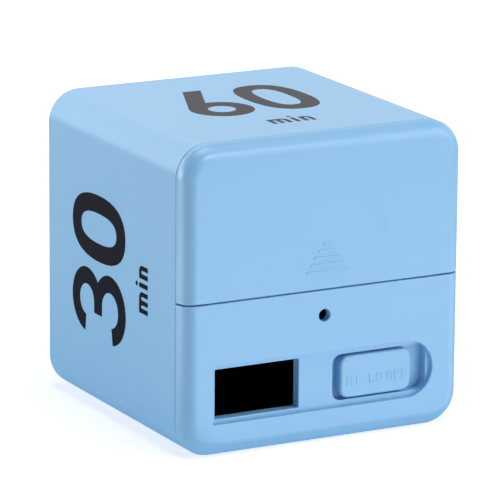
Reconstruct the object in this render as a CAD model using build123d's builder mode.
from build123d import *

import os
from math import acos, atan2, cos, hypot, pi, radians, sin, sqrt, tan

# A cube kitchen timer. Turned so that a number is on top, it counts that many minutes down.
# Lengths are in millimetres. X runs to the right, Y to the back and Z up. The origin is the centre of the
# bottom face. The front, at negative Y, carries the battery door above and the display and switch below.
# A depth is a distance behind the front face.

# The cube
cube = 62.0
side_radius = 6.7
back_radius = 2.75
front_radius = 3.1
wall = 2.0
overrun = 1.0

# How the front comes apart
seam_depth = 3.55
seam_gap = 0.15
door_split = 31.0
split_gap = 0.3
edge_round = 0.2
panel_wall = 1.8
door_wall = 1.6

# The panel's lip inside the housing, and its hooks under the board
lip_wall = 1.1
lip_clearance = 0.15
lip_reach = 2.5
hook_width = 6.0
hook_place = 17.0
hook_reach = 2.4
hook_barb = 1.1
hook_barb_height = 0.4
hook_clearance = 0.15

# The recess in the panel, with the display window and the switch slot in its floor
recess_left_margin = 6.6
recess_right_margin = 6.44
recess_height = 11.7
recess_middle = 12.45
recess_depth = 1.0
pad_margin = 2.0
window_margin = 0.8
window_width = 18.48
window_height = 10.0
window_floor = 2.2
window_radius = 0.3
recess_round = 0.2
window_round = 0.15
slot_margin = 1.06
slot_width = 21.1
slot_height = 9.4
slot_radius = 1.9
slot_floor = 1.85

# The sound hole, below the split
sound_radius = 1.25
sound_drop = 5.2
sound_round = 0.22

# The shelf on the panel, which carries the battery tray
shelf_wall = 1.7

# The knob and its plate
knob_margin = 1.6
knob_width = 15.85
knob_height = 8.6
knob_radius = 1.85
knob_round = 0.6
knob_depth = 0.4
knob_travel = 3.5
plate_wall = 1.0
plate_height = 12.0
plate_radius = 0.8
plate_margin = 0.5
plate_clearance = 0.1
guide_wall = 1.0
guide_clearance = 0.2
guide_reach = 1.2
prong_wall = 1.2
prong_height = 3.0
prong_clearance = 0.1

# The words on the knob, in raised strokes: the middle of each from the knob's left end, and each letter's
# strokes by their left, low, right and high side as shares of the letter
word_height = 1.9
word_letter = 1.25
word_gap = 0.45
word_raise = 0.08
word_drop = 0.8
word_places = {"HI": 2.85, "LO": 7.95, "OFF": 12.75}
letter_shares = {
    "H": ((0.0, 0.0, 0.24, 1.0), (0.76, 0.0, 1.0, 1.0), (0.0, 0.42, 1.0, 0.58)),
    "I": ((0.38, 0.0, 0.62, 1.0),),
    "L": ((0.0, 0.0, 0.24, 1.0), (0.0, 0.0, 1.0, 0.16)),
    "O": ((0.0, 0.0, 0.24, 1.0), (0.76, 0.0, 1.0, 1.0), (0.0, 0.0, 1.0, 0.16), (0.0, 0.84, 1.0, 1.0)),
    "F": ((0.0, 0.0, 0.24, 1.0), (0.0, 0.84, 1.0, 1.0), (0.0, 0.42, 0.85, 0.58)),
}

# The battery door, with the places of its lips, arrow and gate mark above the split
door_lip = 0.75
door_lip_reach = 1.4
door_lip_length = 6.0
door_lip_places = (4.0, 18.0)
tongue_wall = 0.75
tongue_margin = 3.0
tongue_length = 0.9
tongue_clearance = 0.15
arrow_place = 0.5
arrow_rise = 3.68
arrow_width = 9.4
arrow_pitch = 1.38
arrow_bar = 0.5
arrow_raise = 0.15
arrow_round = 0.14
arrow_shares = (1.0, 0.83, 0.64, 0.43, 0.21)
gate_place = (12.4, 11.9)
gate_radius = 1.2
gate_depth = 0.06

# The battery tray and its two cells
cell_radius = 5.25
cell_length = 43.7
cell_edge = 0.4
nub_radius = 1.9
nub_length = 0.8
cell_gap = 0.8
cell_clearance = 0.3
spring_room = 4.7
tray_wall = 1.2
rail_wall = 0.75
rail_clearance = 0.15
rail_margin = 0.25
divider_length = 24.0
divider_wall = 0.8
divider_height = 2.0

# The battery contacts
contact_wall = 0.4
contact_size = 9.2
tab_width = 3.0
tab_reach = 1.2
tab_offset = 3.65
tab_clearance = 0.2
spring_wire = 0.35
spring_large = 4.0
spring_small = 2.2
spring_turns = 3
spring_gap = 0.05

# The screws and what they hold
tray_screw_place = 18.0
tray_screw_radius = 1.1
tray_screw_length = 8.0
tray_head_radius = 1.9
tray_head_height = 1.2
board_screw_radius = 0.8
board_screw_length = 5.0
board_head_radius = 1.5
board_head_height = 1.1
screw_cross = 0.5
screw_cross_depth = 0.5
screw_cross_share = 0.67
screw_round_share = 0.33
thread_clearance = 0.05
hole_clearance = 0.2
post_radius = 3.0
post_rib = 1.2
post_rib_length = 26.0
board_post_radius = 1.8
board_post_side = 2.5
board_post_drop = 3.2
board_post_corner = 1.6
board_post_middle = -0.4

# The display module
lens_wall = 0.8
lens_margin = 0.7
glass_wall = 1.1
glass_margin_x = 0.9
glass_margin_z = 1.9
glass_left_spare = 0.9
elastomer_wall = 2.6
elastomer_width = 2.0
frame_wall = 1.2
frame_clearance = 0.1

# The circuit board and what is soldered to it. The high resistors are placed down from the board's top
board_wall = 1.2
board_side_gap = 0.75
board_bottom_gap = 0.7
board_top_gap = 0.55
board_radius = 2.5
chip_place = (-13.0, 9.5)
chip_radius = 4.6
chip_height = 1.5
chip_round_share = 0.9
crystal_place = (4.5, 7.0)
crystal_radius = 1.0
crystal_length = 6.0
crystal_foot = 0.25
chip_resistor = (2.0, 1.25, 0.6)
low_resistors = ((-4.4, 9.0), (-4.4, 11.4))
high_resistors = ((14.0, 4.0), (14.0, 6.4), (18.0, 4.0), (18.0, 6.4), (-14.0, 3.1))

# The slide switch
switch_length = 12.8
switch_width = 6.6
switch_height = 3.25
switch_shell = 0.6
switch_clearance = 0.2
lever_width = 2.0
lever_depth = 2.6
lever_tip = 0.2
carriage_length = 3.2
carriage_width = 4.2
carriage_height = 1.6
switch_pin_radius = 0.35
switch_pin_pitch = 2.5
switch_pin_count = 4
switch_pin_drop = 2.0
switch_pin_length = 2.1

# The two tilt switches
can_radius = 2.0
can_length = 7.6
can_wall = 0.4
can_spread = 12.4
can_drop = 9.6
can_angle = 45.0
can_foot = 0.05
can_pin_radius = 0.25
can_pin_spread = 4.4
can_pin_clearance = 0.1
ball_radius = 1.3
ball_end_gap = 0.1

# The sounder, under the shelf
buzzer_radius = 4.5
buzzer_clearance = 0.25
buzzer_length = 5.5
buzzer_wall = 0.6
buzzer_port = 1.0
buzzer_chamber = 1.0
diaphragm_wall = 0.15
diaphragm_gap = 0.2
magnet_wall = 0.9
coil_radius = 1.9
coil_gap = 0.3
gasket_radius = 4.2
gasket_clearance = 0.25
gasket_bore = 2.9

# The leads from the contacts to their pads on the board, placed by X and down from the board's top
lead_radius = 0.5
lead_bend = 1.6
lead_inset = 0.6
lead_gap = 0.05
lead_foot = 0.1
lead_slant = 4.0
positive_pad = (-17.0, 7.1)
negative_pad = (-18.5, 11.6)

# The print on the four number faces: places along the text and behind the front face
print_depth = 0.1
numeral_height = 24.1
numeral_gap = 1.8
zero_width = 13.6
zero_height = 23.75
zero_side = 3.74
zero_cap = 4.05
round_outer_share = 0.67
round_inner_share = 0.70
three_upper = 6.67
three_lower = 7.06
three_stroke = 3.49
three_bar = 4.2
three_upper_angle = 6.8
three_lower_angle = 9.4
six_radius = 6.57
six_stroke = 3.78
six_top = 6.75
one_width = 8.6
one_stroke = 3.75
one_flag_drop = 4.0
five_width = 13.4
five_stroke = 3.55
five_mouth_angle = 10.5
five_bowl = 15.4
five_bar_inset = 1.2
five_stem_bottom = 11.2
five_stem_top_width = 3.6
five_bar_end = 12.2
small_height = 3.8
small_stroke = 1.0
small_arch = 2.66
small_gap = 0.82
dot_gap = 0.55
top_print = (0.04, 22.5, 12.5)
left_print = (-0.59, 24.82, 15.2)
hidden_print = (0.0, 24.82, 15.2)

# Sizes that follow from those above
half = cube / 2
inner_half = half - wall
inner_radius = side_radius - wall
panel_top = door_split - split_gap / 2
door_bottom = door_split + split_gap / 2
rim_depth = seam_depth - seam_gap
lip_half = inner_half - lip_clearance
panel_half = lip_half - lip_wall
lip_depth = seam_depth + lip_reach
recess_left = recess_left_margin - half
recess_right = half - recess_right_margin
recess_low = recess_middle - recess_height / 2
recess_high = recess_middle + recess_height / 2
pad_low = recess_low - pad_margin
pad_high = recess_high + pad_margin
window_left = recess_left + window_margin
window_right = window_left + window_width
window_depth = recess_depth + window_floor
slot_right = recess_right - slot_margin
slot_left = slot_right - slot_width
slot_depth = recess_depth + slot_floor
window_low = recess_middle - window_height / 2
window_high = recess_middle + window_height / 2
plate_front = slot_depth + plate_clearance
plate_back = plate_front + plate_wall
plate_left = slot_left - knob_travel - plate_margin
plate_right = slot_right + plate_margin
pad_split = plate_left - plate_margin / 2
knob_left = slot_left + knob_margin
knob_middle = knob_left + knob_width / 2
rail_front = door_wall + rail_clearance
rail_back = rail_front + rail_wall
cell_depth = rail_back + cell_clearance + cell_radius
bay_back = cell_depth + cell_radius + cell_clearance
tray_back = bay_back + tray_wall
bay_low = panel_top + tray_wall
lower_cell_height = bay_low + cell_clearance + cell_radius
upper_cell_height = lower_cell_height + 2 * cell_radius + cell_gap
bay_high = upper_cell_height + cell_radius + cell_clearance
tray_top = bay_high + tray_wall
bay_half = contact_wall + (nub_length + cell_length + spring_room) / 2
tray_half = bay_half + tray_wall
valley_height = (lower_cell_height + upper_cell_height) / 2
shelf_bottom = panel_top - shelf_wall
sound_height = door_split - sound_drop
tongue_half = inner_half - tongue_margin
tab_depth = cell_depth + tab_offset
lens_back = window_depth + lens_wall
glass_back = lens_back + 2 * glass_wall
board_front = glass_back + elastomer_wall
board_back = board_front + board_wall
board_half = panel_half - board_side_gap
board_bottom = wall + board_bottom_gap
board_top = shelf_bottom - board_top_gap
board_post_places = (
    (board_post_side - board_half, board_top - board_post_drop),
    (board_half - board_post_side, board_top - board_post_drop),
    (board_half - board_post_corner, board_bottom + board_post_corner),
    (board_post_middle, board_bottom + board_post_corner),
)
glass_left = window_left - glass_margin_x - glass_left_spare
glass_right = window_right + glass_margin_x
glass_low = window_low - glass_margin_z
glass_high = window_high + glass_margin_z
switch_front = board_front - switch_height
switch_middle = knob_middle + knob_travel / 2
guide_top = recess_middle + plate_height / 2 + guide_clearance + guide_wall
buzzer_height = shelf_bottom - buzzer_clearance - buzzer_radius
buzzer_front = board_front - buzzer_length
gasket_height = shelf_bottom - gasket_clearance - gasket_radius
can_depth = board_back + can_foot + can_radius
can_height = board_top - can_drop
tab_end = tray_half + tab_reach


def at_depth(depth):
    """The sketch plane this far behind the front face: X and Z across it, its normal to the front."""
    return Plane.XZ.offset(half - depth)


def block(left, right, low, high, front, back, mode=Mode.ADD):
    """A box by its left and right X, its low and high Z, and its front and back depth."""
    with BuildSketch(at_depth(back)) as outline:
        with Locations(((left + right) / 2, (low + high) / 2)):
            Rectangle(right - left, high - low)
    extrude(outline.sketch, amount=back - front, mode=mode)


def disc(x, z, radius, front, back, mode=Mode.ADD):
    """A cylinder along Y at X and Z, from its front depth to its back depth."""
    with BuildSketch(at_depth(back)) as outline:
        with Locations((x, z)):
            Circle(radius)
    extrude(outline.sketch, amount=back - front, mode=mode)


def cavity(half_size, radius, front, back, mode=Mode.SUBTRACT):
    """The rounded square inside the cube's walls, from its front depth to its back depth."""
    with BuildSketch(at_depth(back)) as outline:
        with Locations((0, half)):
            RectangleRounded(2 * half_size, 2 * half_size, radius)
    extrude(outline.sketch, amount=back - front, mode=mode)


def soften(piece, split_face):
    """Rounds the outer edges of a front piece, along the split and along the seam, but not where the two meet."""
    spare = edge_round / 10
    seam_face = piece.faces().sort_by(Axis.Y)[-1]
    around = [edge for edge in split_face.edges() if edge.bounding_box().min.Y < rim_depth - half - spare]
    behind = [edge for edge in seam_face.edges() if abs(edge.center().Z - split_face.center().Z) > spare]
    fillet(around + behind, edge_round)


def round_edges(piece, depth, low, high, radius):
    """Rounds the edges that lie at a depth and whose middles are between two heights."""
    spare = radius / 10
    found = [
        edge
        for edge in piece.edges()
        if abs(edge.center().Y + half - depth) < spare
        and low - spare < edge.center().Z < high + spare
        and abs(edge.center().X) < recess_right
        and edge.bounding_box().size.Y < spare
    ]
    fillet(found, radius)


def finish(piece, name):
    """Labels a finished piece and writes it under its name."""
    piece.part.label = name
    export_step(piece.part, "parts/" + name + ".step")


os.makedirs("parts", exist_ok=True)


# Numerals and letters, each a sketch with its lower left corner at the origin


def oval(half_width, half_height, share):
    """A closed outline of four quarter curves; a larger share makes fuller corners."""
    with BuildSketch() as face:
        with BuildLine() as edge:
            Bezier(
                (0, half_height),
                (share * half_width, half_height),
                (half_width, share * half_height),
                (half_width, 0),
            )
            mirror(about=Plane.XZ)
            mirror(about=Plane.YZ)
        make_face()
    return face.sketch


def ring(half_width, half_height, side, cap):
    """An oval ring with its lower left corner at the origin, as thick as side and cap say."""
    with BuildSketch() as face:
        with Locations((half_width, half_height)):
            add(oval(half_width, half_height, round_outer_share))
            add(oval(half_width - side, half_height - cap, round_inner_share), mode=Mode.SUBTRACT)
    return face.sketch


def zero():
    """An oval ring at half the height of the other numerals."""
    with BuildSketch() as face:
        with Locations((0, (numeral_height - zero_height) / 2)):
            add(ring(zero_width / 2, zero_height / 2, zero_side, zero_cap))
    return face.sketch


def three():
    """Two rings, each with a mouth cut on its left, and the bar between the mouths."""
    middle = three_lower
    upper = numeral_height - three_upper
    bar_low = 2 * three_lower - three_stroke
    bar_high = numeral_height - 2 * three_upper + three_stroke
    bar_middle = (bar_low + bar_high) / 2
    reach = 2 * middle
    with BuildSketch() as face:
        with Locations((middle, upper)):
            Circle(three_upper)
        with Locations((middle, three_lower)):
            Circle(three_lower)
            Circle(three_lower - three_stroke, mode=Mode.SUBTRACT)
        with Locations((middle, upper)):
            Circle(three_upper - three_stroke, mode=Mode.SUBTRACT)
        for centre, angle in ((upper, three_upper_angle), (three_lower, -three_lower_angle)):
            with BuildLine() as mouth:
                Polyline(
                    (middle, centre),
                    (middle - reach, centre + reach * tan(radians(angle))),
                    (middle - reach, bar_middle),
                    (middle, bar_middle),
                    close=True,
                )
            make_face(mode=Mode.SUBTRACT)
        with Locations((middle - three_bar / 4, bar_middle)):
            Rectangle(three_bar / 2, bar_high - bar_low)
    return face.sketch


def six():
    """A ring, and a straight stem that is tangent to it on the left."""
    lean = atan2(numeral_height - six_radius, six_top - six_radius)
    span = hypot(numeral_height - six_radius, six_top - six_radius)
    touch = lean + acos(six_radius / span)
    inner = six_radius - six_stroke
    outer_x = six_radius + six_radius * cos(touch)
    outer_z = six_radius + six_radius * sin(touch)
    inner_x = six_radius + inner * cos(touch)
    inner_z = six_radius + inner * sin(touch)
    slope = (six_top - outer_x) / (numeral_height - outer_z)
    with BuildSketch() as face:
        with Locations((six_radius, six_radius)):
            Circle(six_radius)
            Circle(inner, mode=Mode.SUBTRACT)
        with BuildLine() as stem:
            Polyline(
                (outer_x, outer_z),
                (six_top, numeral_height),
                (inner_x + slope * (numeral_height - inner_z), numeral_height),
                (inner_x, inner_z),
                close=True,
            )
        make_face()
    return face.sketch


def one():
    """A stem with a slanted flag."""
    stem_left = one_width - one_stroke
    with BuildSketch() as face:
        with BuildLine() as edge:
            Polyline(
                (stem_left, 0),
                (one_width, 0),
                (one_width, numeral_height),
                (stem_left, numeral_height),
                (0, numeral_height - one_flag_drop),
                (0, numeral_height - one_flag_drop - one_stroke),
                (stem_left, numeral_height - one_stroke - one_flag_drop / 4),
                close=True,
            )
        make_face()
    return face.sketch


def five():
    """A bowl with a mouth on its left, a short stem and the bar on top."""
    middle = five_width / 2
    centre = five_bowl / 2
    with BuildSketch() as face:
        add(ring(middle, centre, five_stroke, five_stroke))
        with BuildLine() as mouth:
            Polyline(
                (middle, centre - middle * tan(radians(five_mouth_angle))),
                (-middle, centre - 2 * middle * tan(radians(five_mouth_angle))),
                (-middle, five_stem_bottom),
                (five_stroke, five_stem_bottom),
                (middle, centre),
                close=True,
            )
        make_face(mode=Mode.SUBTRACT)
        with BuildLine() as stem:
            Polyline(
                (five_bar_inset, five_stem_bottom),
                (five_bar_inset + five_stem_top_width, five_stem_bottom),
                (five_bar_inset + five_stem_top_width, numeral_height - five_stroke),
                (five_bar_end, numeral_height - five_stroke),
                (five_bar_end, numeral_height),
                (five_bar_inset, numeral_height),
                close=True,
            )
        make_face()
    return face.sketch


def arch():
    """The letter n, which is also half of an m."""
    outer = small_arch / 2
    with BuildSketch() as face:
        with Locations((outer, small_height - outer)):
            Circle(outer)
        with Locations((small_stroke / 2, small_height / 2)):
            Rectangle(small_stroke, small_height)
        with Locations((outer, (small_height - outer) / 2)):
            Rectangle(small_arch, small_height - outer)
        with Locations((outer, small_height - outer)):
            Circle(outer - small_stroke, mode=Mode.SUBTRACT)
        with Locations((outer, (small_height - outer) / 2)):
            Rectangle(small_arch - 2 * small_stroke, small_height - outer, mode=Mode.SUBTRACT)
    return face.sketch


def minutes_word():
    """The word min, centred on X, on its base line."""
    m_width = 2 * small_arch - small_stroke
    word = m_width + small_gap + small_stroke + small_gap + small_arch
    i_place = m_width + small_gap + small_stroke / 2
    with BuildSketch() as face:
        with Locations((-word / 2, 0), (small_arch - small_stroke - word / 2, 0), (word / 2 - small_arch, 0)):
            add(arch())
        with Locations((i_place - word / 2, small_height / 2)):
            Rectangle(small_stroke, small_height)
        with Locations((i_place - word / 2, small_height + dot_gap + small_stroke / 2)):
            Circle(small_stroke / 2)
    return face.sketch


def number_print(plane, first, first_width, second, second_width, place):
    """Two numerals and the word under them on a face, as a solid one print deep under the surface."""
    shift, numeral_base, word_base = place
    width = first_width + numeral_gap + second_width
    with BuildSketch(plane) as outline:
        with Locations((half + shift - width / 2, numeral_base)):
            add(first)
        with Locations((half + shift + width / 2 - second_width, numeral_base)):
            add(second)
        with Locations((half + shift, word_base)):
            add(minutes_word())
    with BuildPart() as ink:
        extrude(outline.sketch, amount=-print_depth)
    return ink


# Each number face's plane runs along the text and away from the front, so words stand on the front edge
top_plane = Plane(origin=(-half, -half, cube), x_dir=(1, 0, 0), z_dir=(0, 0, 1))
left_plane = Plane(origin=(-half, -half, 0), x_dir=(0, 0, 1), z_dir=(-1, 0, 0))
bottom_plane = Plane(origin=(half, -half, 0), x_dir=(-1, 0, 0), z_dir=(0, 0, -1))
right_plane = Plane(origin=(half, -half, cube), x_dir=(0, 0, -1), z_dir=(1, 0, 0))

prints = {
    "print_60": number_print(top_plane, six(), 2 * six_radius, zero(), zero_width, top_print),
    "print_30": number_print(left_plane, three(), 2 * three_lower, zero(), zero_width, left_print),
    "print_15": number_print(bottom_plane, one(), one_width, five(), five_width, hidden_print),
}
with BuildPart() as print_five:
    with BuildSketch(right_plane):
        with Locations((half - five_width / 2, hidden_print[1])):
            add(five())
        with Locations((half, hidden_print[2])):
            add(minutes_word())
    extrude(amount=-print_depth)
prints["print_5"] = print_five
for name, ink in prints.items():
    finish(ink, name)


# The whole cube with its rounded edges, which the three outer pieces are cut from
with BuildPart() as cube_blank:
    with BuildSketch(at_depth(cube)):
        with Locations((0, half)):
            RectangleRounded(cube, cube, side_radius)
    extrude(amount=cube)
    fillet(cube_blank.faces().sort_by(Axis.Y)[0].edges(), front_radius)
    fillet(cube_blank.faces().sort_by(Axis.Y)[-1].edges(), back_radius)


# The housing: the cube behind the seam, hollow, with two posts for the tray's screws
with BuildPart() as main_housing:
    add(cube_blank.part)
    block(-cube, cube, -overrun, cube + overrun, -overrun, seam_depth, Mode.SUBTRACT)
    fillet(main_housing.faces().sort_by(Axis.Y)[0].edges(), edge_round)
    cavity(inner_half, inner_radius, seam_depth - overrun, cube - wall)
    for side in (-1, 1):
        post = side * tray_screw_place
        disc(post, valley_height, post_radius, tray_back, cube - wall)
        edges = sorted((post, side * (inner_half + wall / 2)))
        rib_low = valley_height - post_rib / 2
        block(*edges, rib_low, rib_low + post_rib, cube - wall - post_rib_length, cube - wall)
        pilot = tray_screw_radius + thread_clearance
        pilot_end = bay_back + tray_screw_length + overrun
        disc(post, valley_height, pilot, tray_back - overrun, pilot_end, Mode.SUBTRACT)
        hook = side * hook_place
        block(
            hook - hook_width / 2 - hook_clearance,
            hook + hook_width / 2 + hook_clearance,
            wall - hook_barb_height - hook_clearance,
            wall + overrun,
            lip_depth + hook_reach - hook_barb - 2 * hook_clearance,
            lip_depth + hook_reach + hook_clearance,
            Mode.SUBTRACT,
        )
    for ink in prints.values():
        add(ink.part, mode=Mode.SUBTRACT)
finish(main_housing, "main_housing")


# The fixed lower panel
with BuildPart() as front_panel:
    add(cube_blank.part)
    block(-cube, cube, -overrun, panel_top, -overrun, rim_depth, Mode.INTERSECT)
    soften(front_panel, front_panel.faces().sort_by(Axis.Z)[-1])
    panel_radius = inner_radius - lip_clearance - lip_wall
    cavity(panel_half, panel_radius, panel_wall, rim_depth + overrun)

    # The lip that enters the housing, below the shelf
    with BuildSketch(at_depth(lip_depth)):
        with Locations((0, half)):
            RectangleRounded(2 * lip_half, 2 * lip_half, inner_radius - lip_clearance)
            RectangleRounded(2 * panel_half, 2 * panel_half, panel_radius, mode=Mode.SUBTRACT)
        with Locations((0, panel_top / 2)):
            Rectangle(cube, panel_top, mode=Mode.INTERSECT)
    extrude(amount=lip_depth - panel_wall)
    for side in (-1, 1):
        hook = side * hook_place
        hook_left = hook - hook_width / 2
        hook_right = hook + hook_width / 2
        hook_top = wall + lip_clearance + lip_wall
        hook_end = lip_depth + hook_reach
        block(hook_left, hook_right, wall + lip_clearance, hook_top, rim_depth, hook_end)
        block(hook_left, hook_right, wall - hook_barb_height, hook_top, hook_end - hook_barb, hook_end)

    # The shelf
    block(-tray_half, tray_half, shelf_bottom, panel_top, panel_wall - overrun / 2, tray_back)

    # The thicker wall behind the recess
    block(-panel_half - lip_wall / 2, pad_split, pad_low, pad_high, panel_wall / 2, window_depth)
    block(pad_split, panel_half + lip_wall / 2, pad_low, pad_high, panel_wall / 2, slot_depth)

    # Guides above and below the knob's plate, and the room for its end in the side wall
    for low in (guide_top - guide_wall, 2 * recess_middle - guide_top):
        block(pad_split, panel_half, low, low + guide_wall, slot_depth, plate_back + guide_reach)
    block(
        panel_half - overrun,
        lip_half,
        recess_middle - plate_height / 2 - guide_clearance,
        recess_middle + plate_height / 2 + guide_clearance,
        slot_depth,
        lip_depth + overrun,
        Mode.SUBTRACT,
    )

    # Posts for the board's screws
    for x, z in board_post_places:
        disc(x, z, board_post_radius, panel_wall / 2, board_front)
    for x, z in board_post_places:
        thread_end = board_back - board_screw_length - board_wall / 2
        disc(x, z, board_screw_radius + thread_clearance, thread_end, board_front + overrun, Mode.SUBTRACT)

    # The recess, with a square left end and a round right end
    with BuildSketch(at_depth(recess_depth)):
        round_end = recess_right - recess_height / 2
        with Locations(((recess_left + round_end) / 2, recess_middle)):
            Rectangle(round_end - recess_left, recess_height)
        with Locations((round_end, recess_middle)):
            Circle(recess_height / 2)
    extrude(amount=recess_depth + overrun, mode=Mode.SUBTRACT)
    round_edges(front_panel, 0, recess_low, recess_high, recess_round)

    # The window and the slot in its floor
    with BuildSketch(at_depth(window_depth + overrun)):
        with Locations(((window_left + window_right) / 2, recess_middle)):
            RectangleRounded(window_width, window_height, window_radius)
    extrude(amount=window_depth + overrun, mode=Mode.SUBTRACT)
    round_edges(front_panel, recess_depth, window_low, window_high, window_round)
    with BuildSketch(at_depth(slot_depth + overrun)):
        with Locations(((slot_left + slot_right) / 2, recess_middle)):
            RectangleRounded(slot_right - slot_left, slot_height, slot_radius)
    extrude(amount=slot_depth + overrun, mode=Mode.SUBTRACT)

    # The sound hole, and the rebate for the door's tongue
    disc(0, sound_height, sound_radius, -overrun, panel_wall + overrun, Mode.SUBTRACT)
    hole_rim = front_panel.edges().filter_by(GeomType.CIRCLE).filter_by(
        lambda e: abs(e.radius - sound_radius) < sound_round and e.center().Y < sound_round - half
    )
    fillet(hole_rim, sound_round)
    rebate_half = tongue_half + tongue_clearance
    block(
        -rebate_half,
        rebate_half,
        panel_top - tongue_length - tongue_clearance,
        panel_top + overrun,
        door_wall - tongue_wall - tongue_clearance,
        panel_wall,
        Mode.SUBTRACT,
    )
finish(front_panel, "front_panel")


# The battery door
with BuildPart() as battery_door:
    add(cube_blank.part)
    block(-cube, cube, door_bottom, cube + overrun, -overrun, rim_depth, Mode.INTERSECT)
    soften(battery_door, battery_door.faces().sort_by(Axis.Z)[0])
    cavity(inner_half, inner_radius, door_wall, rim_depth + overrun)
    for side in (-1, 1):
        for place in door_lip_places:
            low = door_split + place
            edges = sorted((side * (inner_half - door_lip_reach), side * (inner_half + wall / 2)))
            block(*edges, low, low + door_lip_length, rim_depth - door_lip, rim_depth)
    tongue_front = door_wall - tongue_wall
    tongue_low = panel_top - tongue_length
    block(-tongue_half, tongue_half, tongue_low, door_bottom + overrun, tongue_front, door_wall)
    for step, share in enumerate(arrow_shares):
        bar_middle = door_split + arrow_rise + step * arrow_pitch
        bar_half = arrow_width * share / 2
        block(
            arrow_place - bar_half,
            arrow_place + bar_half,
            bar_middle - arrow_bar / 2,
            bar_middle + arrow_bar / 2,
            -arrow_raise,
            door_wall / 2,
        )
    round_edges(battery_door, -arrow_raise, door_split, cube, arrow_round)
    disc(gate_place[0], door_split + gate_place[1], gate_radius, -overrun, gate_depth, Mode.SUBTRACT)
finish(battery_door, "battery_door")


# The battery tray: a bay behind a flange whose side edges are the door's rails
with BuildPart() as battery_tray:
    flange_half = inner_half - rail_margin
    with BuildSketch(at_depth(rail_back)):
        with Locations((0, half)):
            RectangleRounded(2 * flange_half, 2 * flange_half, inner_radius)
        with Locations((0, (panel_top + cube) / 2)):
            Rectangle(cube, cube - panel_top, mode=Mode.INTERSECT)
    extrude(amount=rail_wall)
    block(-tray_half, tray_half, panel_top, tray_top, rail_front, tray_back)
    block(-bay_half, bay_half, bay_low, bay_high, rail_front - overrun, bay_back, Mode.SUBTRACT)
    block(
        -divider_length / 2,
        divider_length / 2,
        valley_height - divider_wall / 2,
        valley_height + divider_wall / 2,
        bay_back - divider_height,
        bay_back,
    )
    for side in (-1, 1):
        hole = tray_screw_radius + hole_clearance
        disc(
            side * tray_screw_place,
            valley_height,
            hole,
            bay_back - overrun,
            tray_back + overrun,
            Mode.SUBTRACT,
        )
    for height in (lower_cell_height, upper_cell_height):
        block(
            -tray_half - overrun,
            -bay_half + overrun,
            height - tab_width / 2 - tab_clearance,
            height + tab_width / 2 + tab_clearance,
            tab_depth - tab_clearance,
            tab_depth + contact_wall + tab_clearance,
            Mode.SUBTRACT,
        )
finish(battery_tray, "battery_tray")


# The two cells: each stands with its nub on the plain contact and its flat end on a spring


def cell(height, nub_side):
    """A cell along X at this height, with its nub towards the left (-1) or the right (1)."""
    nub_tip = nub_side * (bay_half - contact_wall)
    shoulder = nub_tip - nub_side * nub_length
    face = Plane(origin=(shoulder, cell_depth - half, height), x_dir=(0, 1, 0), z_dir=(-nub_side, 0, 0))
    with BuildPart() as can:
        with BuildSketch(face):
            Circle(cell_radius)
        extrude(amount=cell_length)
        fillet(can.edges().filter_by(GeomType.CIRCLE), cell_edge)
        with BuildSketch(face):
            Circle(nub_radius)
        extrude(amount=-nub_length)
    return can


lower_cell = cell(lower_cell_height, -1)
finish(lower_cell, "lower_cell")
upper_cell = cell(upper_cell_height, 1)
finish(upper_cell, "upper_cell")


# The contacts


def contact(height):
    """A plate on the tray's left wall with a tab through the wall."""
    plate_low = height - contact_size / 2
    with BuildPart() as plate:
        block(
            -bay_half,
            contact_wall - bay_half,
            plate_low,
            plate_low + contact_size,
            cell_depth - contact_size / 2,
            tab_depth + contact_wall,
        )
        tab_low = height - tab_width / 2
        block(-tab_end, -bay_half, tab_low, tab_low + tab_width, tab_depth, tab_depth + contact_wall)
    return plate


finish(contact(lower_cell_height), "contact_positive")
finish(contact(upper_cell_height), "contact_negative")

with BuildPart() as contact_bridge:
    block(
        bay_half - contact_wall,
        bay_half,
        lower_cell_height - contact_size / 2,
        upper_cell_height + contact_size / 2,
        cell_depth - contact_size / 2,
        cell_depth + contact_size / 2,
    )
finish(contact_bridge, "contact_bridge")


def spring_path(height, side):
    """Arcs, two to each quarter turn, along a cone from the contact in to the cell's flat end."""
    start = bay_half - contact_wall - spring_gap - spring_wire
    length = spring_room - 2 * spring_gap - 2 * spring_wire
    count = 4 * spring_turns

    def point(step):
        share = step / count
        turn = 2 * pi * spring_turns * share
        radius = spring_large + (spring_small - spring_large) * share
        place = Vector(side * (start - length * share), radius * cos(turn), radius * sin(turn))
        across = (spring_small - spring_large) / count
        spin = pi / 2 * radius
        heading = Vector(
            -side * length / count,
            across * cos(turn) - spin * sin(turn),
            across * sin(turn) + spin * cos(turn),
        ).normalized()
        return place + Vector(0, cell_depth - half, height), heading

    arcs = []
    for step in range(count):
        p0, t0 = point(step)
        p1, t1 = point(step + 1)
        v = p1 - p0
        t = t0 + t1
        bend = 2 * (1 - t0.dot(t1))
        d = (-v.dot(t) + sqrt(v.dot(t) ** 2 + bend * v.dot(v))) / bend
        middle = (p0 + p1 + (t0 - t1) * d) / 2
        joint = ((p1 - t1 * d) - (p0 + t0 * d)).normalized()
        arcs.append((p0, middle, t0))
        arcs.append((middle, p1, joint))
    return arcs


with BuildPart() as contact_springs:
    for height, side in ((lower_cell_height, 1), (upper_cell_height, -1)):
        arcs = spring_path(height, side)
        with BuildLine() as coil:
            for first, last, heading in arcs:
                TangentArc(first, last, tangent=heading)
        with BuildSketch(Plane(origin=arcs[0][0], z_dir=arcs[0][2])):
            Circle(spring_wire)
        sweep(path=coil.line)
finish(contact_springs, "contact_springs")


# Screws: a pan head with a cross, and a plain shank


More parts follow.
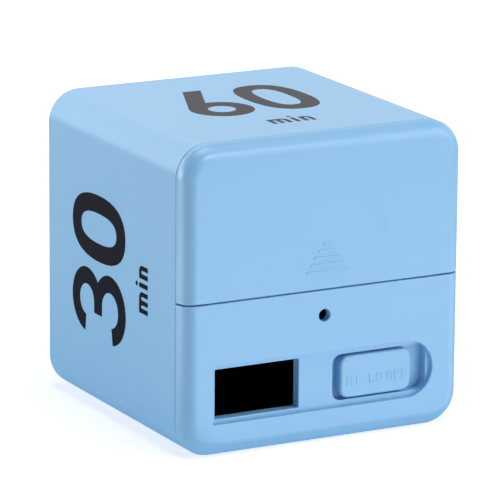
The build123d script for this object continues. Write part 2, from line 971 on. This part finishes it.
def screws(places, head_front, shank_side, head_radius, head_height, radius, length):
    """Pan head screws along Y. Their heads start at this depth, and the shanks point to shank_side."""
    with BuildPart() as group:
        for x, z in places:
            if shank_side > 0:
                disc(x, z, head_radius, head_front - head_height, head_front)
                disc(x, z, radius, head_front, head_front + length)
            else:
                disc(x, z, head_radius, head_front, head_front + head_height)
                disc(x, z, radius, head_front - length, head_front)
        top = -1 if shank_side < 0 else 0
        rims = group.edges().filter_by(GeomType.CIRCLE).group_by(Axis.Y)[top]
        fillet(rims, head_height * screw_round_share)
        for x, z in places:
            slot_front = head_front - head_height - overrun
            slot_back = head_front - head_height + screw_cross_depth
            if shank_side < 0:
                slot_front = head_front + head_height - screw_cross_depth
                slot_back = head_front + head_height + overrun
            arm = head_radius * screw_cross_share
            thin = screw_cross / 2
            block(x - arm, x + arm, z - thin, z + thin, slot_front, slot_back, Mode.SUBTRACT)
            block(x - thin, x + thin, z - arm, z + arm, slot_front, slot_back, Mode.SUBTRACT)
    return group


tray_screws = screws(
    ((-tray_screw_place, valley_height), (tray_screw_place, valley_height)),
    bay_back,
    1,
    tray_head_radius,
    tray_head_height,
    tray_screw_radius,
    tray_screw_length,
)
finish(tray_screws, "tray_screws")
board_screws = screws(
    board_post_places,
    board_back,
    -1,
    board_head_radius,
    board_head_height,
    board_screw_radius,
    board_screw_length,
)
finish(board_screws, "board_screws")


# The display module
with BuildPart() as display_lens:
    block(
        window_left - lens_margin,
        window_right + lens_margin,
        window_low - lens_margin,
        window_high + lens_margin,
        window_depth,
        lens_back,
    )
finish(display_lens, "display_lens")

with BuildPart() as lcd_glass:
    block(glass_left, glass_right, glass_low, glass_high, lens_back + glass_wall, glass_back)
    block(glass_left, glass_right, glass_low + elastomer_width, glass_high, lens_back, lens_back + glass_wall)
finish(lcd_glass, "lcd_glass")

with BuildPart() as elastomer_strips:
    for low in (glass_low, glass_high - elastomer_width):
        block(glass_left, glass_right, low, low + elastomer_width, glass_back, board_front)
finish(elastomer_strips, "elastomer_strips")

with BuildPart() as lcd_frame:
    room = frame_clearance
    rim = frame_clearance + frame_wall
    block(glass_left - rim, glass_right + rim, glass_low - rim, glass_high + rim, window_depth, board_front)
    block(
        glass_left - room,
        glass_right + room,
        glass_low - room,
        glass_high + room,
        window_depth - overrun,
        board_front + overrun,
        Mode.SUBTRACT,
    )
finish(lcd_frame, "lcd_frame")


# The circuit board
can_places = [(side * can_spread / 2, side) for side in (-1, 1)]
can_rise = sin(radians(can_angle))
can_run = cos(radians(can_angle))
switch_pins = [
    (switch_middle + (n - (switch_pin_count - 1) / 2) * switch_pin_pitch, recess_middle - switch_pin_drop)
    for n in range(switch_pin_count)
]
can_pins = [
    (x + side * end * can_pin_spread / 2 * can_run, can_height + end * can_pin_spread / 2 * can_rise)
    for x, side in can_places
    for end in (-1, 1)
]
with BuildPart() as circuit_board:
    with BuildSketch(at_depth(board_back)):
        with Locations((0, (board_bottom + board_top) / 2)):
            RectangleRounded(2 * board_half, board_top - board_bottom, board_radius)
        with Locations(*board_post_places):
            Circle(board_screw_radius + hole_clearance, mode=Mode.SUBTRACT)
        with Locations(*switch_pins):
            Circle(switch_pin_radius + can_pin_clearance, mode=Mode.SUBTRACT)
        with Locations(*can_pins):
            Circle(can_pin_radius + can_pin_clearance, mode=Mode.SUBTRACT)
    extrude(amount=board_wall)
finish(circuit_board, "circuit_board")

with BuildPart() as chip_cover:
    disc(*chip_place, chip_radius, board_back, board_back + chip_height)
    fillet(chip_cover.faces().sort_by(Axis.Y)[-1].edges(), chip_height * chip_round_share)
finish(chip_cover, "chip_cover")

with BuildPart() as crystal:
    crystal_end = crystal_place[0] - crystal_length / 2
    crystal_depth = board_back + crystal_radius + crystal_foot
    with BuildSketch(Plane(origin=(crystal_end, crystal_depth - half, crystal_place[1]), z_dir=(1, 0, 0))):
        Circle(crystal_radius)
    extrude(amount=crystal_length)
    fillet(crystal.edges().filter_by(GeomType.CIRCLE), crystal_radius / 4)
    block(
        crystal_end + crystal_radius,
        crystal_end + crystal_length - crystal_radius,
        crystal_place[1] - crystal_radius / 2,
        crystal_place[1] + crystal_radius / 2,
        board_back,
        crystal_depth,
    )
finish(crystal, "crystal")

with BuildPart() as board_components:
    length, width, height = chip_resistor
    for x, z in (*low_resistors, *((x, board_top - drop) for x, drop in high_resistors)):
        block(x - length / 2, x + length / 2, z - width / 2, z + width / 2, board_back, board_back + height)
finish(board_components, "board_components")


# The slide switch and its lever
with BuildPart() as switch_body:
    body_left = switch_middle - switch_length / 2
    half_width = switch_width / 2
    half_run = knob_travel / 2 + switch_clearance
    low_side = recess_middle - half_width
    high_side = recess_middle + half_width
    block(body_left, body_left + switch_length, low_side, high_side, switch_front, board_front)
    shell_back = switch_front + switch_shell
    room_back = shell_back + carriage_height + 2 * switch_clearance
    carriage_half = carriage_length / 2 + half_run
    lever_half = lever_width / 2 + half_run
    cross_half = carriage_width / 2 + switch_clearance
    neck_half = lever_depth / 2 + switch_clearance
    block(
        switch_middle - carriage_half,
        switch_middle + carriage_half,
        recess_middle - cross_half,
        recess_middle + cross_half,
        shell_back,
        room_back,
        Mode.SUBTRACT,
    )
    block(
        switch_middle - lever_half,
        switch_middle + lever_half,
        recess_middle - neck_half,
        recess_middle + neck_half,
        switch_front - overrun,
        room_back,
        Mode.SUBTRACT,
    )
    for x, z in switch_pins:
        disc(x, z, switch_pin_radius, board_front - switch_clearance, board_front + switch_pin_length)
finish(switch_body, "switch_body")

with BuildPart() as switch_lever:
    carriage_front = shell_back + switch_clearance
    block(
        knob_middle - lever_width / 2,
        knob_middle + lever_width / 2,
        recess_middle - lever_depth / 2,
        recess_middle + lever_depth / 2,
        plate_back + lever_tip,
        carriage_front,
    )
    block(
        knob_middle - carriage_length / 2,
        knob_middle + carriage_length / 2,
        recess_middle - carriage_width / 2,
        recess_middle + carriage_width / 2,
        carriage_front,
        carriage_front + carriage_height,
    )
finish(switch_lever, "switch_lever")


# The knob: a rounded block in the slot on a wide plate behind it, with a fork for the switch's lever
with BuildPart() as switch_knob:
    with BuildSketch(at_depth(plate_back)):
        with Locations(((plate_left + plate_right) / 2, recess_middle)):
            RectangleRounded(plate_right - plate_left, plate_height, plate_radius)
    extrude(amount=plate_wall)
    with BuildSketch(at_depth(plate_front)):
        with Locations((knob_middle, recess_middle)):
            RectangleRounded(knob_width, knob_height, knob_radius)
    extrude(amount=plate_front - knob_depth)
    fillet(switch_knob.faces().sort_by(Axis.Y)[0].edges(), knob_round)
    for side in (-1, 1):
        inner = knob_middle + side * (lever_width / 2 + prong_clearance)
        edges = sorted((inner, inner + side * prong_wall))
        prong_low = recess_middle - prong_height / 2
        prong_back = switch_front - switch_clearance
        block(*edges, prong_low, prong_low + prong_height, plate_back, prong_back)
    for word, place in word_places.items():
        step = word_letter + word_gap
        first = knob_left + place - (len(word) * step - word_gap) / 2
        for count, letter in enumerate(word):
            left = first + count * step
            low = recess_middle - word_drop - word_height / 2
            for share_left, share_low, share_right, share_high in letter_shares[letter]:
                block(
                    left + share_left * word_letter,
                    left + share_right * word_letter,
                    low + share_low * word_height,
                    low + share_high * word_height,
                    knob_depth - word_raise,
                    knob_depth + word_raise,
                )
finish(switch_knob, "switch_knob")


# The tilt switches: a can that leans 45 degrees each way, with a ball that rolls in it


def tilt_plane(x, side, along):
    """The plane across a can, this far up its axis from the can's middle."""
    axis = (side * can_run, 0, can_rise)
    origin = (x + along * axis[0], can_depth - half, can_height + along * axis[2])
    return Plane(origin=origin, x_dir=(0, 1, 0), z_dir=axis)


def tilt_can(x, side, pins):
    """A closed can with its two pins down into the board."""
    with BuildPart() as can:
        with BuildSketch(tilt_plane(x, side, -can_length / 2)):
            Circle(can_radius)
        extrude(amount=can_length)
        for pin_x, pin_z in pins:
            disc(pin_x, pin_z, can_pin_radius, board_front + can_foot, board_back + can_foot + can_wall / 2)
        with BuildSketch(tilt_plane(x, side, can_wall - can_length / 2)):
            Circle(can_radius - can_wall)
        extrude(amount=can_length - 2 * can_wall, mode=Mode.SUBTRACT)
    return can


def tilt_ball(x, side):
    """A ball at the low end of its can."""
    low_end = can_wall + ball_end_gap + ball_radius - can_length / 2
    with BuildPart() as ball:
        with Locations(tilt_plane(x, side, low_end)):
            Sphere(ball_radius)
    return ball


for (x, side), name in zip(can_places, ("left", "right")):
    own_pins = [pin for pin in can_pins if pin[0] * side > 0]
    finish(tilt_can(x, side, own_pins), "tilt_can_" + name)
    finish(tilt_ball(x, side), "tilt_ball_" + name)


# The sounder: a case with a port, a diaphragm on a ring magnet, a coil under it and a soft gasket
with BuildPart() as buzzer_case:
    chamber_front = buzzer_front + buzzer_wall
    chamber_back = board_front - buzzer_wall
    disc(0, buzzer_height, buzzer_radius, buzzer_front, board_front)
    disc(0, buzzer_height, buzzer_radius - buzzer_wall, chamber_front, chamber_back, Mode.SUBTRACT)
    disc(0, buzzer_height, buzzer_port, buzzer_front - overrun, chamber_front + overrun, Mode.SUBTRACT)
finish(buzzer_case, "buzzer_case")

magnet_front = chamber_front + buzzer_chamber
magnet_radius = buzzer_radius - buzzer_wall - diaphragm_gap
with BuildPart() as buzzer_diaphragm:
    disc(0, buzzer_height, magnet_radius, magnet_front - diaphragm_wall, magnet_front)
finish(buzzer_diaphragm, "buzzer_diaphragm")

with BuildPart() as buzzer_magnet:
    disc(0, buzzer_height, magnet_radius, magnet_front, chamber_back)
    disc(0, buzzer_height, magnet_radius - magnet_wall, magnet_front - overrun, chamber_back, Mode.SUBTRACT)
finish(buzzer_magnet, "buzzer_magnet")

with BuildPart() as buzzer_coil:
    disc(0, buzzer_height, coil_radius, magnet_front + coil_gap, chamber_back)
finish(buzzer_coil, "buzzer_coil")

with BuildPart() as buzzer_gasket:
    disc(0, gasket_height, gasket_radius, panel_wall, buzzer_front)
    disc(0, gasket_height, gasket_bore, panel_wall - overrun, buzzer_front + overrun, Mode.SUBTRACT)
finish(buzzer_gasket, "buzzer_gasket")


# The two leads, from the contacts' tabs down behind the board


def lead(points):
    """A round lead along straight runs and tangent arcs, through points of X, depth and Z."""
    route = [Vector(x, depth - half, z) for x, depth, z in points]
    with BuildPart() as wire:
        with BuildLine() as path:
            FilletPolyline(*route, radius=lead_bend)
        with BuildSketch(Plane(origin=route[0], z_dir=route[1] - route[0])):
            Circle(lead_radius)
        sweep(path=path.line)
    return wire


lead_x = lead_inset - tab_end
behind_tab = tab_depth + contact_wall + lead_radius + lead_gap
before_tab = tab_depth - lead_radius - lead_gap
on_board = board_back + lead_foot + lead_radius
for name, tab_height, depth, (pad, drop) in (
    ("wire_positive", lower_cell_height, behind_tab, positive_pad),
    ("wire_negative", upper_cell_height, before_tab, negative_pad),
):
    low = board_top - drop
    wire = lead(
        (
            (lead_x, depth, tab_height + tab_width / 2),
            (lead_x, depth, low),
            (pad - lead_slant, depth, low),
            (pad, on_board, low),
        )
    )
    finish(wire, name)
